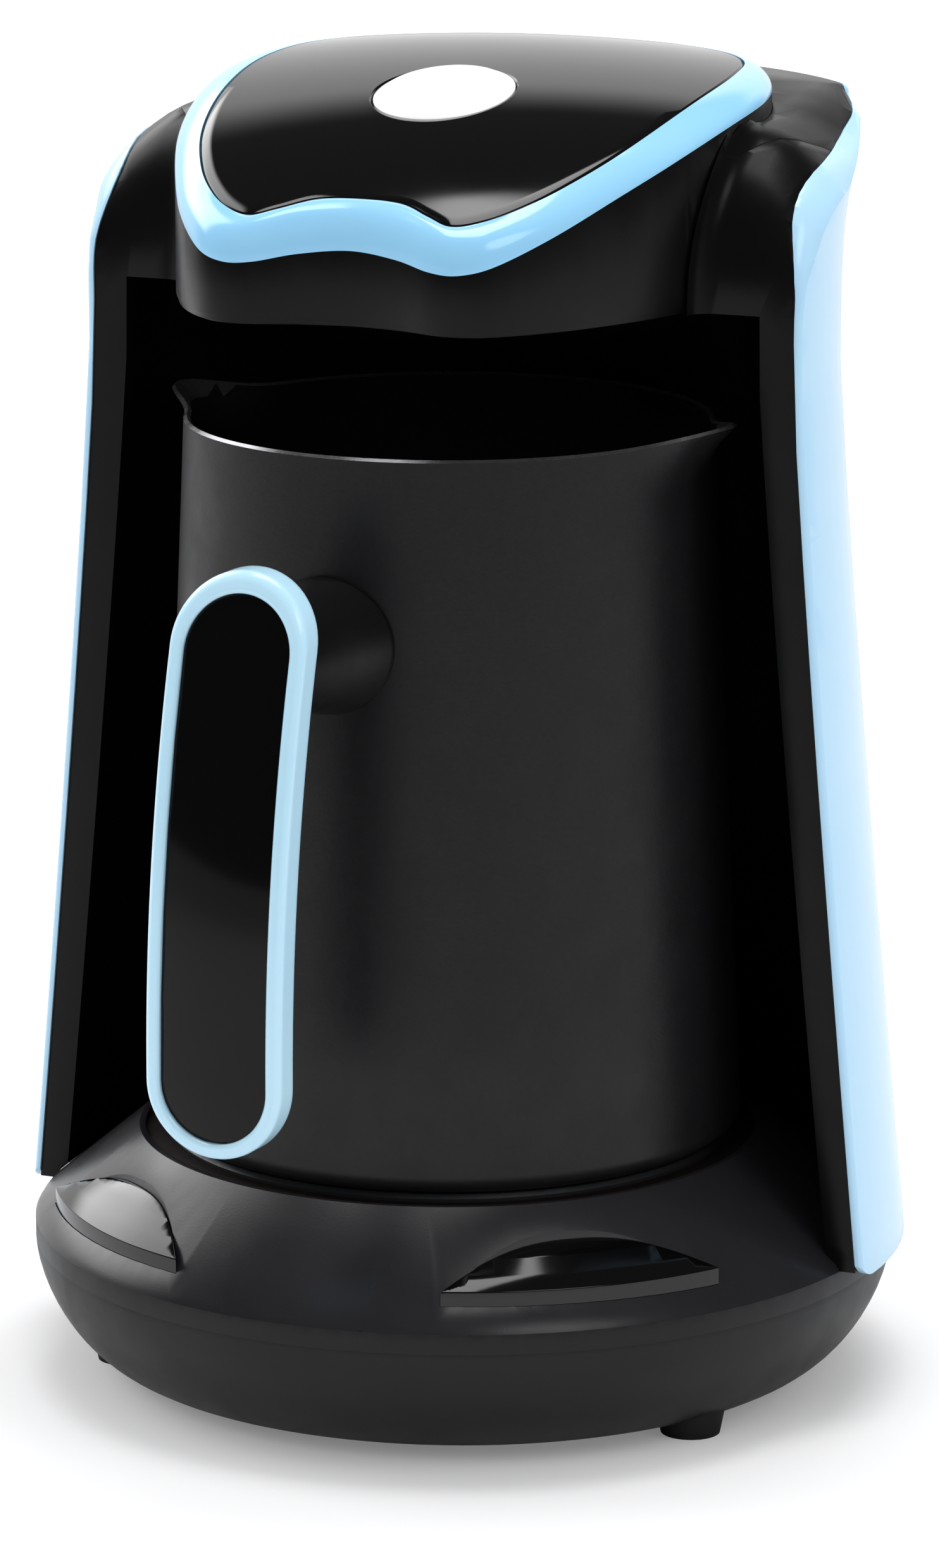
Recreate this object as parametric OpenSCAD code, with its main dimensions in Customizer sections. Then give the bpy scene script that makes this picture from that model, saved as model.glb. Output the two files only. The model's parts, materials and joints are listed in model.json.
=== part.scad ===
// Electric turkish coffee maker: a round heated base, a horseshoe body with a hooded
// head over its niche, and a loose pot with two pouring lips and a hanging handle.
// Millimetres, +Z up, front towards -Y, z = 0 on the table.

/* [Base] */
// Widest radius of the round base
base_r = 86; // [83:0.5:90]
// Radius of the flat part of the bowl's underside
bowl_flat_r = 69.7; // [66:0.1:73]
// Roundness of the bowl's side, 2 is a quarter ellipse
bowl_bulge = 1.61; // [1.4:0.01:2.2]
// Height of the bowl's underside over the table
foot_h = 3.2; // [2.4:0.1:6]
// Height of the seam between bowl and deck
seam_z = 26.3; // [24:0.1:29]
// Height of the deck's outer edge
rim_z = 31.5; // [30:0.1:34]
// Height of the deck's inner edge, round the pot
deck_z = 50.3; // [46:0.1:54]
// Radius of the deck's round opening
deck_hole_r = 60.8; // [60:0.1:63]
// Wall of the plastic shells
skin = 2.2; // [1.8:0.1:2.6]
// Distance of the front feet from the middle plane
foot_x = 60.7; // [56:0.1:63]
// Distance of the front feet in front of the base's axis
foot_front = 30.7; // [26:0.1:34]
// Distance of the rear feet from the middle plane
foot_rear_x = 45; // [40:1:48]
// Distance of the rear feet behind the base's axis
foot_rear = 50; // [44:1:52]
// Radius of a foot at the table
foot_r = 5.8; // [5:0.1:6.6]

/* [Body] */
// Centre of the body's round plan, along Y from the base's axis
body_y = -5; // [-7:0.5:-3]
// Radius of the body at its waist
waist_r = 74; // [72:0.1:76]
// Height of the waist
waist_z = 204; // [196:1:212]
// Radius of the body at its foot
body_foot_r = 88.6; // [86.5:0.1:90]
// How much the body widens again above the waist
body_flare = 6.4; // [4:0.1:7.5]
// Front face of the two columns, along Y
front_y = -13.3; // [-16:0.1:-10]
// Height where the columns begin to lean back into the shoulder
shoulder_low_z = 219; // [217:1:221]
// How far the shoulder's curve reaches back
shoulder_depth = 24; // [22:1:28]
// Height of the shoulder's curve beside the head
shoulder_rise = 31.5; // [30:0.5:33]
// How much lower the shoulder's outer corner lies
shoulder_drop = 6; // [4:0.5:8]
// Height of the body's top at its rear edge
body_top_z = 254.5; // [254:0.5:256]
// Height of the niche's roof, which is the head's underside
niche_top_z = 217; // [214:1:220]
// Thickness of a column at the niche's roof
column_w_high = 7.4; // [6.8:0.1:8.4]
// Thickness of a column at its foot
column_w_low = 6.2; // [5.8:0.1:7.2]
// Centre of the niche's round plan, along Y
niche_y = -8; // [-10:0.5:-7]
// Seam between the front housing and the shoulder cap, along Y beside the head
split_y = -4.5; // [-6:0.5:2]
// How much further back that seam lies at the outer edge of the shoulder
split_run = 29.5; // [24:0.5:32]

/* [Outer shell] */
// How far the outer shell stands proud of the body's round
shell_proud = 1.4; // [1:0.1:2]
// How far the outer shell reaches inside the body's round
shell_sunk = 0; // [0:0.1:0.5]
// How much further it wraps over the shoulder
shell_wrap = 5.2; // [3:0.1:5.5]
// Height of the outer shell's lower edge at the sides
shell_low_z = 29.2; // [28:0.1:30]

/* [Head] */
// Height of the highest point of the top plate
top_z = 262; // [260:0.5:266]
// Where along Y the top plate is highest
crown_y = 32; // [26:1:38]
// Height of the trim ring's highest outer edge
ring_edge_z = 255.3; // [254:0.1:257]
// Thickness of the top plate
plate_t = 2; // [1.6:0.1:2.4]
// Radius of the start button
button_r = 13.8; // [12:0.1:15]
// Distance of the start button in front of the base's axis
button_front = 9.7; // [7:0.1:12]
// Travel of the start button
button_travel = 1; // [0.8:0.1:1.4]

/* [Pot] */
// Axis of the pot and of the heating plate, along Y
pot_y = -7; // [-7.5:0.1:-6]
// Turn of the standing pot, handle towards -X
pot_turn = 3.2; // [0:0.1:6]
// Radius of the pot at its floor
pot_floor_r = 58.3; // [57:0.1:59]
// Radius of the pot just under its rim
pot_neck_r = 51.9; // [50:0.1:54]
// Height of the pot's rim over the table
pot_rim_z = 192.4; // [184:0.1:200]
// Wall of the pot
pot_wall = 1.4; // [1.2:0.1:2]
// How far the two lips reach out from the rim
lip_out = 8.6; // [6:0.1:10]
// How far the two lips rise over the rim
lip_up = 2.4; // [1:0.1:4]

/* [Handle] */
// Height of the middle of the handle's neck
neck_z = 156.8; // [150:0.1:165]
// Radius of the neck where it meets the pot
neck_root_r = 14.6; // [12:0.1:16]
// Radius of the neck at the handle
neck_tip_r = 9.5; // [8:0.1:11]
// Width of the handle
handle_w = 28.2; // [24:0.1:32]
// Thickness of the handle's ring
handle_t = 6.4; // [5:0.1:8]
// Width of the ring seen from the front
handle_band = 3; // [2.5:0.1:4]
// Extra width of the ring's upper end
handle_cap = 1.1; // [0:0.1:2]
// Height of the handle's upper end
handle_top_z = 176.9; // [172:0.1:184]
// Height of the handle's lower end
handle_low_z = 67.9; // [60:0.1:75]
// Distance of the handle's middle from the pot's axis, at the neck
handle_reach = 87; // [82:0.1:92]
// How far the handle bows out at its lower end
handle_bow = 11; // [6:0.1:14]

/* [Hidden] */
$fn = 96;

// The body's outline
taper = 1.13;        // how the body's side curves out towards its foot
flare_power = 4;     // and how late it flares out towards its top
top_edge = 2;        // rounding of its top edge

// Gaps between pieces
fit = 0.15;      // plastic pieces that are pressed or screwed together
slip = 0.3;      // pieces that slide past each other
seat = 0.1;      // under the standing pot
far = 400;       // longer than anything here, for cuts

// ---------- Shapes worked out from the sizes above ----------

// Everything is drawn about the base's axis and then moved so that the whole
// object's box is centred on the origin.
gland_z = 15;
gland_flange_t = 2.5;
gland_pad_y = base_r - 1;
gland_wall_y = base_r - 12;   // inner end of the pad
back_y = gland_pad_y + gland_flange_t;
handle_s = (handle_top_z - 13.8) - (handle_low_z + 14.4);
function handle_f(z) = (handle_top_z - 13.8 - z)/handle_s;
function handle_d(z) = handle_reach + handle_bow*(1 - pow(1 - handle_f(z), 2));
handle_far = handle_reach + handle_bow + handle_t/2;
y_shift = -(back_y + pot_y - handle_far*cos(pot_turn))/2;
module place() translate([0, y_shift, 0]) children();
module pot_place() place() translate([0, pot_y, 0]) rotate([0, 0, -pot_turn]) children();

// A profile in the Y-Z plane, pulled along X
module pull_x(points, w = far)
    translate([-w/2, 0, 0]) rotate([90, 0, 90]) linear_extrude(w) polygon(points);

function mix(a, b, t) = a + (b - a)*t;

// A closed smooth line through the points of its right half and their mirror images
function closed_loop(half) =
    concat(half, [for (i = [len(half) - 2:-1:1]) [-half[i][0], half[i][1]]]);
function spline(p, steps) = [for (i = [0:len(p) - 1], s = [0:steps - 1])
    let (n = len(p), t = s/steps, a = p[(i + n - 1)%n], b = p[i], c = p[(i + 1)%n], d = p[(i + 2)%n])
    0.5*(2*b + (c - a)*t + (2*a - 5*b + 4*c - d)*t*t + (3*b - a - 3*c + d)*t*t*t)];
function unit(v) = v/norm(v);
// A closed line that runs counter-clockwise, moved inwards
function inwards(p, d) = [for (i = [0:len(p) - 1])
    let (n = len(p), t = unit(p[(i + 1)%n] - p[(i + n - 1)%n])) p[i] + d*[-t[1], t[0]]];

// A closed tube of sections, each a list of points with the same count
module ring_of(sections) {
    n = len(sections);
    m = len(sections[0]);
    polyhedron(
        [for (s = sections) for (p = s) p],
        [for (i = [0:n - 1], j = [0:m - 1]) let (k = (i + 1)%n, l = (j + 1)%m)
            each [[i*m + j, k*m + j, k*m + l], [i*m + j, k*m + l, i*m + l]]]);
}
// A stack of level rings with the same count, closed at both ends by a point
module stack_of(rings, low, high) {
    n = len(rings);
    m = len(rings[0]);
    polyhedron(
        concat([for (s = rings) for (p = s) p], [low, high]),
        concat(
            [for (j = [0:m - 1]) [n*m, j, (j + 1)%m]],
            [for (i = [0:n - 2], j = [0:m - 1]) let (l = (j + 1)%m)
                each [[i*m + j, (i + 1)*m + l, i*m + l], [i*m + j, (i + 1)*m + j, (i + 1)*m + l]]],
            [for (j = [0:m - 1]) [n*m + 1, (n - 1)*m + (j + 1)%m, (n - 1)*m + j]]));
}

// A screw standing on the point of its thread, head up
module screw(r, l, head_r, head_h) {
    cylinder(r = r, h = l, $fn = 24);
    translate([0, 0, l]) difference() {
        cylinder(r = head_r, h = head_h, $fn = 32);
        translate([0, 0, head_h/2]) for (a = [0, 90])
            rotate([0, 0, a]) translate([-head_r*0.6, -head_r*0.12, 0])
                cube([head_r*1.2, head_r*0.24, head_h]);
    }
}
module at(points) for (p = points) translate(p) children();

// ---------- Base ----------

function bowl_side(r, flat, z0, z1) = [for (i = [0:14]) let (a = 90*i/14)
    [flat + (r - flat)*pow(sin(a), 2/bowl_bulge), z1 - (z1 - z0)*pow(cos(a), 2/bowl_bulge)]];
module bowl_solid(inset) {
    rotate_extrude() polygon(concat([[0, foot_h + inset]],
        bowl_side(base_r - inset, bowl_flat_r - inset*0.7, foot_h + inset, seam_z),
        [[base_r - inset, seam_z + (inset > 0 ? 1 : 0)], [0, seam_z + (inset > 0 ? 1 : 0)]]));
}
// The deck leans from the base's round edge up to the pot's round opening, whose
// centre lies a little further forward.
edge_r = base_r - 0.7;
module deck_solid(inset, low = seam_z) {
    translate([0, 0, low]) cylinder(r = base_r - inset, h = rim_z - inset - low - 1.2);
    hull() {
        translate([0, 0, rim_z - inset - 1.3]) cylinder(r = base_r - inset, h = 0.1);
        translate([0, 0, rim_z - inset - 0.1]) cylinder(r = edge_r - inset, h = 0.1);
        translate([0, pot_y, deck_z - inset - 0.1]) cylinder(r = deck_hole_r + 1.2 - inset*0.4, h = 0.1);
    }
}

foot_up = 8;
foot_top_r = foot_r + 1.5;
feet = [[-foot_x, -foot_front], [foot_x, -foot_front], [-foot_rear_x, foot_rear], [foot_rear_x, foot_rear]];
module foot(i) color("#1c1c1e") place() translate([feet[i][0], feet[i][1], 0]) {
    cylinder(r1 = foot_r, r2 = foot_top_r, h = foot_up - fit);
}

base_screw_r = deck_hole_r + 3.2;
base_screw_spots = [for (a = [20, 160, 246, 294]) base_screw_r*[cos(a), sin(a)]];
boss_split_z = 22;
body_screw_r = base_r - 8;
body_screw_spots = [for (a = [60, 80, 100, 120]) body_screw_r*[cos(a), sin(a)]];
body_screw_seat = 29;
screw_r = 1.4;

board_w = 74;
board_d = 52;
board_y = 12;
board_z = 10;
board_t = 1.6;
board_hole = 4;
board_spots = [for (x = [-1, 1], y = [-1, 1])
    [x*(board_w/2 - board_hole), board_y + y*(board_d/2 - board_hole)]];
relay_at = [-28, board_y - 16];
relay_pins = [for (x = [3, 16], y = [3, 12.5]) relay_at + [x, y]];
pin_r = 0.5;

gland_r = 6;
gland_hole_r = 3.8;
gland_in = 16;           // how far the gland reaches in from the base's side
gland_flange_r = gland_r + 3;
clamp_y = base_r - 24;
clamp_x = 9;
clamp_d = 8;
clamp_h = 7.5;
clamp_screw_l = 13;

module base_bowl() color("#29292c") place() difference() {
    union() {
        difference() {
            bowl_solid(0);
            bowl_solid(skin);
        }
        // lip that the deck closes over
        translate([0, 0, seam_z - 3]) difference() {
            cylinder(r = base_r - skin - fit, h = 3.6);
            translate([0, 0, -1]) cylinder(r = base_r - skin - fit - 1.4, h = 6);
        }
        intersection() {
            bowl_solid(0);
            union() {
                at(feet) cylinder(r = foot_top_r + skin, h = foot_up + skin);
                at(base_screw_spots) cylinder(r = 4.2, h = boss_split_z);
                at(board_spots) cylinder(r = 3.2, h = board_z);
                for (x = [-clamp_x, clamp_x]) translate([x, clamp_y, 0]) cylinder(r = 3, h = gland_z - 1);
                translate([0, 0, gland_z]) rotate([-90, 0, 0]) cylinder(r = gland_flange_r + 0.5, h = far);
            }
        }
        // flat pad for the cord's gland
        intersection() {
            translate([0, gland_wall_y, gland_z]) rotate([-90, 0, 0])
                cylinder(r = gland_flange_r + 0.5, h = gland_pad_y - gland_wall_y);
            difference() {
                translate([-far/2, -far/2, foot_h]) cube([far, far, seam_z - foot_h]);
                translate([0, 0, -1]) cylinder(r = gland_wall_y, h = far);
            }
        }
    }
    // room inside, in front of the pad
    translate([0, 0, gland_z]) rotate([-90, 0, 0]) cylinder(r = gland_flange_r + 0.6, h = gland_wall_y);
    translate([0, 0, gland_z]) rotate([-90, 0, 0]) cylinder(r = gland_r + 0.05, h = far);
    // the gland's outer flange lies flat against the pad
    translate([0, gland_pad_y, gland_z]) rotate([-90, 0, 0]) cylinder(r = gland_flange_r + fit, h = far);
    at(feet) translate([0, 0, -0.01])
        cylinder(r1 = foot_r + fit, r2 = foot_top_r + fit, h = foot_up - fit + 0.01);
    at(base_screw_spots) {
        translate([0, 0, -1]) cylinder(r = screw_r + 0.3, h = far, $fn = 32);
        translate([0, 0, -1]) cylinder(r = 3, h = foot_h + skin + 1, $fn = 32);
    }
    at(board_spots) translate([0, 0, board_z - 5]) cylinder(r = 1, h = 6, $fn = 24);
    for (x = [-clamp_x, clamp_x]) translate([x, clamp_y, gland_z - 7]) cylinder(r = 1, h = 10, $fn = 24);
    // vents
    for (a = [-60:20:60]) rotate([0, 0, a]) translate([-1.4, -52, -1]) cube([2.8, 20, foot_h + skin + 2]);
}

window_mid = 39.4;     // angle from the front to a window's middle
window_half = 19.8;    // half the angle that it spans
window_r = 82.2;       // radius of its outer edge
window_d = 10.4;       // its depth in the middle
window_z = 37.6;       // height of its face at the outer edge
window_slope = 0.63;   // rise of its face per millimetre inwards
function leaf(grow) = let (n = 24, half = window_half + grow*0.9)
    concat(
        [for (i = [0:n]) let (a = window_mid - half + 2*half*i/n) (window_r + grow)*[sin(a), -cos(a)]],
        [for (i = [n - 1:-1:1]) let (t = 2*i/n - 1, a = window_mid + half*t,
            r = window_r - window_d*(1 - pow(abs(t), 2.4)) - grow) r*[sin(a), -cos(a)]]);
window_low = rim_z - skin;
module window() intersection() {
    translate([0, 0, window_low]) linear_extrude(far) polygon(leaf(0));
    cylinder(r1 = window_r + window_z/window_slope, r2 = 0, h = window_z + window_r*window_slope, $fn = 180);
}
module window_left() color("#0c0d0f") place() mirror([1, 0, 0]) window();
module window_right() color("#0c0d0f") place() window();

collar_low = deck_z - 9;
module base_deck() color("#38383a") place() difference() {
    union() {
        difference() {
            deck_solid(0);
            difference() {
                translate([0, 0, -1]) deck_solid(skin, seam_z);
                translate([0, pot_y, 0]) cylinder(r = deck_hole_r + skin, h = far);
            }
            translate([0, pot_y, 0]) cylinder(r = deck_hole_r, h = far);
            translate([0, pot_y, 0]) cylinder(r = deck_hole_r + skin + 0.01, h = collar_low);
        }
        // bosses for the base's screws, and those that the body's screws pull against
        intersection() {
            deck_solid(0, boss_split_z);
            difference() {
                union() {
                    at(base_screw_spots) cylinder(r = 4.2, h = far);
                    at(body_screw_spots) translate([0, 0, body_screw_seat]) cylinder(r = 3.4, h = far);
                }
                cylinder(r = far, h = boss_split_z);
                translate([0, pot_y, collar_low - 8]) cylinder(r = deck_hole_r, h = far);
            }
        }
        // ledge that carries the heating plate's seal
        translate([0, pot_y, collar_low]) difference() {
            cylinder(r = deck_hole_r + 0.5, h = 2);
            translate([0, 0, -1]) cylinder(r = plate_r - 4, h = 4);
        }
    }
    at(base_screw_spots) translate([0, 0, boss_split_z - 1]) cylinder(r = screw_r - 0.2, h = 15, $fn = 24);
    at(body_screw_spots) cylinder(r = screw_r + 0.3, h = far, $fn = 32);
    for (s = [0, 1]) mirror([s, 0, 0]) translate([0, 0, window_low - fit])
        linear_extrude(far) polygon(leaf(fit));
    translate([wire_x, wire_y(rim_z + 4), seam_z - 1]) cylinder(r = wire_r + 0.8, h = far, $fn = 32);
}

// ---------- Heater ----------

plate_r = deck_hole_r - 4.8;
plate_z = deck_z + 0.6;
plate_thick = 4;
element_r = 36;
element_tube = 3.2;
bracket_z = plate_z - plate_thick - 2*element_tube - 1.5;
bracket_screw_x = 20;

module heating_plate() color("#5a5b5e") place() translate([0, pot_y, 0]) difference() {
    union() {
        translate([0, 0, plate_z - plate_thick]) rotate_extrude()
            polygon([[0, 0], [plate_r, 0], [plate_r, plate_thick - 0.8],
                [plate_r - 0.8, plate_thick], [0, plate_thick]]);
        for (x = [-bracket_screw_x, bracket_screw_x]) translate([x, 0, bracket_z + 1.5])
            cylinder(r = 3.5, h = plate_z - plate_thick - bracket_z - 1);
    }
    for (x = [-bracket_screw_x, bracket_screw_x]) translate([x, 0, bracket_z - 1])
        cylinder(r = 1.5, h = plate_z - 2 - bracket_z, $fn = 24);
}
module plate_seal() color("#3a1f1c") place() translate([0, pot_y, 0]) rotate_extrude() polygon([
    [plate_r - 3.5, collar_low + 2], [deck_hole_r - fit, collar_low + 2],
    [deck_hole_r - fit, deck_z - 1.2], [plate_r + fit, deck_z - 0.8],
    [plate_r + fit, plate_z - plate_thick], [plate_r - 3.5, plate_z - plate_thick]]);
element_z = plate_z - plate_thick - element_tube;
module heating_element() color("#8a8078") place() translate([0, pot_y, element_z]) {
    rotate([0, 0, 110]) rotate_extrude(angle = 320) translate([element_r, 0])
        circle(r = element_tube, $fn = 32);
    for (a = [110, 70]) rotate([0, 0, a]) translate([element_r, 0, -14]) {
        cylinder(r = 1.6, h = 14, $fn = 24);
        translate([-0.4, -3.2, -5]) cube([0.8, 6.4, 7]);
    }
}
module element_bracket() color("#b9babd") place() translate([0, pot_y, bracket_z]) difference() {
    union() {
        translate([-element_r - 5, -6, 0]) cube([2*element_r + 10, 12, 1.5]);
        cylinder(r = 13, h = 1.5);
    }
    translate([0, 0, -1]) cylinder(r = 8.4, h = 4);
    for (x = [-bracket_screw_x, bracket_screw_x]) translate([x, 0, -1]) cylinder(r = 2, h = 4, $fn = 32);
}
module bracket_screws() color("#c8c9cc") place() for (x = [-bracket_screw_x, bracket_screw_x])
    translate([x, pot_y, bracket_z + 8]) rotate([180, 0, 0]) screw(1.45, 8, 3, 1.8);
module thermostat() color("#d8d3c6") place() translate([0, pot_y, 0]) {
    translate([0, 0, plate_z - plate_thick - 12]) cylinder(r = 8, h = 12);
    for (x = [-4, 4]) translate([x - 0.4, -3.1, plate_z - plate_thick - 20]) cube([0.8, 6.2, 9]);
}
module thermal_fuse() color("#c9b27a") place() translate([0, pot_y - 24, plate_z - plate_thick - 2.2]) {
    rotate([0, 90, 0]) translate([0, 0, -7]) cylinder(r = 2.1, h = 14, $fn = 32);
    rotate([0, 90, 0]) translate([0, 0, -14]) cylinder(r = 0.5, h = 28, $fn = 16);
}

// ---------- Power board ----------

part_z = board_z + board_t;
module power_board() color("#2f5b3a") place() difference() {
    translate([-board_w/2, board_y - board_d/2, board_z]) cube([board_w, board_d, board_t]);
    at(board_spots) cylinder(r = 1.7, h = far, $fn = 24);
    at(relay_pins) cylinder(r = pin_r + fit, h = far, $fn = 16);
}
module power_board_screws() color("#c8c9cc") place()
    at(board_spots) translate([0, 0, part_z - 5.6]) screw(0.95, 5.6, 2.6, 1.6);
module relay() color("#2a4f86") place() {
    translate([relay_at[0], relay_at[1], part_z]) cube([19, 15.5, 15]);
    at(relay_pins) translate([0, 0, part_z - 2.4]) cylinder(r = pin_r, h = 2.5, $fn = 16);
}
module transformer() color("#b8923a") place() translate([8, board_y - 18, part_z]) {
    cube([22, 20, 4]);
    translate([2, 2, 4]) cube([18, 16, 10]);
    translate([5, 0.5, 4]) cube([12, 19, 8]);
}
module terminal_block() color("#3f8f58") place() translate([-10, board_y + 13, part_z]) difference() {
    cube([20, 9, 10]);
    for (i = [0:3]) translate([2.5 + 5*i, -1, 5]) rotate([-90, 0, 0]) cylinder(r = 1.6, h = 11, $fn = 24);
    for (i = [0:3]) translate([2.5 + 5*i, 4.5, 5]) cylinder(r = 1.5, h = 6, $fn = 24);
}

// ---------- Cord gland ----------

module cord_gland() color("#1a1a1b") place() translate([0, 0, gland_z]) rotate([-90, 0, 0]) difference() {
    union() {
        translate([0, 0, base_r - gland_in]) cylinder(r = gland_r, h = back_y - base_r + gland_in);
        translate([0, 0, gland_pad_y]) cylinder(r = gland_flange_r, h = gland_flange_t);
        translate([0, 0, base_r - gland_in])
            cylinder(r = gland_r + 2, h = gland_wall_y - base_r + gland_in - fit);
    }
    translate([0, 0, base_r - gland_in - 4]) cylinder(r = gland_hole_r, h = far);
}
module cord_clamp() color("#232325") place() translate([0, clamp_y, gland_z - 1]) difference() {
    translate([-clamp_x - 4, -clamp_d/2, 0]) cube([2*clamp_x + 8, clamp_d, clamp_h]);
    translate([0, 0, 1]) rotate([90, 0, 0]) cylinder(r = gland_hole_r, h = 20, center = true);
    for (x = [-clamp_x, clamp_x]) translate([x, 0, -1]) cylinder(r = 1.7, h = 20, $fn = 24);
}
module clamp_screws() color("#c8c9cc") place() for (x = [-clamp_x, clamp_x])
    translate([x, clamp_y, gland_z - 1 + clamp_h - clamp_screw_l]) screw(0.95, clamp_screw_l, 2.8, 1.8);
module base_screws() color("#c8c9cc") place() at(base_screw_spots)
    translate([0, 0, boss_split_z + 9]) rotate([180, 0, 0])
        screw(screw_r - 0.25, boss_split_z + 9 - foot_h - skin, 2.7, 1.8);

module body_screws() color("#c8c9cc") place() at(body_screw_spots)
    translate([0, 0, body_screw_seat + 14.5]) rotate([180, 0, 0]) screw(screw_r - 0.25, 14.5, 2.7, 1.8);

// The bundle runs over the cord's clamp and gland to the rear, up between niche and outer
// shell and through the head's rear wall.
wire_r = 1.9;
wire_x = 0;
wire_exit_z = niche_top_z + 8;
head_rear_y = 56.5;
function wire_y(z) = (niche_y + sqrt(pow(niche_r(z) + skin, 2) - wire_x*wire_x)
    + body_y + sqrt(pow(body_r(z) - shell_sunk, 2) - wire_x*wire_x))/2;
wire_points = concat([[8, board_y + 23, part_z + 5], [7, board_y + 29, part_z + 6],
    [wire_x + 2, clamp_y - 8, 25], [wire_x, clamp_y + 4, 27.5], [wire_x, clamp_y + 12, 28.5],
    [wire_x, wire_y(rim_z + 4), rim_z - 0.5]],
    [for (z = [rim_z + 4:25:niche_top_z - 8]) [wire_x, wire_y(z), z]],
    [[wire_x, wire_y(niche_top_z), niche_top_z + 2], [wire_x, wire_y(niche_top_z) - 3.5, wire_exit_z - 1.5],
    [wire_x, wire_y(niche_top_z) - 6, wire_exit_z], [wire_x, head_rear_y - 8, wire_exit_z],
    [wire_x, head_rear_y - 26, wire_exit_z + 1]]);
module wire_bundle() color("#b8412f") place() {
    n = len(wire_points);
    stack_of([for (i = [0:n - 1]) let (
        t = unit(wire_points[min(i + 1, n - 1)] - wire_points[max(i - 1, 0)]),
        u = unit(cross(t, [1, 0.2, 0.1])), v = cross(t, u))
        [for (j = [0:7]) wire_points[i] + wire_r*(cos(45*j)*u + sin(45*j)*v)]],
        wire_points[0], wire_points[n - 1]);
}

// ---------- Body ----------

function body_r(z) = z < waist_z
    ? waist_r + (body_foot_r - waist_r)*pow((waist_z - z)/(waist_z - rim_z), taper)
    : waist_r + body_flare*pow((z - waist_z)/(body_top_z - top_edge - waist_z), flare_power);
function column_w(z) = mix(column_w_low, column_w_high, (z - rim_z)/(niche_top_z - rim_z));
function niche_r(z) = body_r(z) - column_w(z);
round_low_z = shell_low_z - 3;
body_heights = concat([for (i = [0:8]) mix(round_low_z, waist_z, i/8)],
    [for (i = [1:12]) mix(waist_z, body_top_z - top_edge, i/12)]);
niche_heights = [for (i = [0:12]) mix(shell_low_z, niche_top_z, i/12)];
// The body's round with its softly rounded top edge
module body_round(grow) translate([0, body_y, 0]) rotate_extrude() {
    r = body_r(body_top_z - top_edge) + grow;
    polygon(concat([[0, body_heights[0]]], [for (z = body_heights) [body_r(z) + grow, z]],
        [for (a = [30, 60, 90]) [r - top_edge*(1 - cos(a)), body_top_z - top_edge*(1 - sin(a))]],
        [[r - 20, body_top_z + 1], [0, body_top_z + 1]]));
}
module niche_round(grow) translate([0, niche_y, 0]) rotate_extrude()
    polygon(concat([[0, niche_heights[0] - 1], [niche_r(niche_heights[0]) + grow, niche_heights[0] - 1]],
        [for (z = niche_heights) [niche_r(z) + grow, z]],
        [[niche_r(niche_top_z) + grow, niche_top_z + grow], [0, niche_top_z + grow]]));
// Inner face of the outer shell, which wraps further over the front of the shoulder
function wrap(z) = z < shoulder_low_z ? 0
    : sin(180*pow(min(1, (z - shoulder_low_z)/(body_top_z - 4 - shoulder_low_z)), 1.9));
function shell_in(z) = body_r(min(z, body_top_z - top_edge)) - shell_sunk - shell_wrap*wrap(z);
shell_turn_z = 212;   // below it that face is nearly straight
shell_heights = concat([for (i = [0:9]) mix(round_low_z, shell_turn_z, i/9)],
    [for (i = [1:26]) mix(shell_turn_z, body_top_z + 2, i/26)]);
module shell_round(grow) translate([0, body_y, 0]) rotate_extrude()
    polygon(concat([[0, round_low_z - 1], [shell_in(round_low_z) + grow, round_low_z - 1]],
        [for (z = shell_heights) [shell_in(z) + grow, z]], [[0, body_top_z + 2]]));

// The front of the body: flat column fronts that lean back into a domed shoulder,
// a hollow fillet against the head's side wall and a rounded outer edge.
fillet_r = 4.5;
edge_low = 1.2;   // rounding of the outer edge along the columns
edge_high = 5.5;  // and over the shoulder
shoulder_power = 1.9;    // how square the shoulder's curve is, 2 is a quarter ellipse
function curve(t) = pow(1 - pow(1 - min(1, max(0, t)), shoulder_power), 1/shoulder_power);
function ease(t) = let (u = min(1, max(0, t))) u*u*(3 - 2*u);
front_rows = concat(
    [for (z = [round_low_z - 6, 50, 80, 110, 140, 170, waist_z, niche_top_z]) [front_y, z]],
    [for (i = [1:10]) let (t = pow(i/10, 1.7))
        [front_y + shoulder_depth*t, shoulder_low_z + shoulder_rise*curve(t)]],
    [for (y = [21, 28, 36, 46, 96]) [y, mix(shoulder_low_z + shoulder_rise, body_top_z, ease((y - 12)/38))]]);
front_n = len(front_rows);
function row_normal(i) = let (d = front_rows[min(i + 1, front_n - 1)] - front_rows[max(i - 1, 0)])
    unit([-d[1], d[0]]);
function wall_x(y) = lookup(y, [for (p = ring_out_half) if (p[0] > 50 && p[1] < 32) [p[1], p[0]]]);
function front_point(i, x, lift) = let (
    p = front_rows[i], n = row_normal(i), share = min(1, max(0, (p[1] - shoulder_low_z)/shoulder_rise)),
    drop = shoulder_drop*min(2, pow(max(0, x - 56)/14.5, 2))*pow(share, 1.5)*(1 - ease((p[0] - 30)/22)))
    [x, p[0] + n[0]*lift, p[1] + n[1]*lift - drop];
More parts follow.
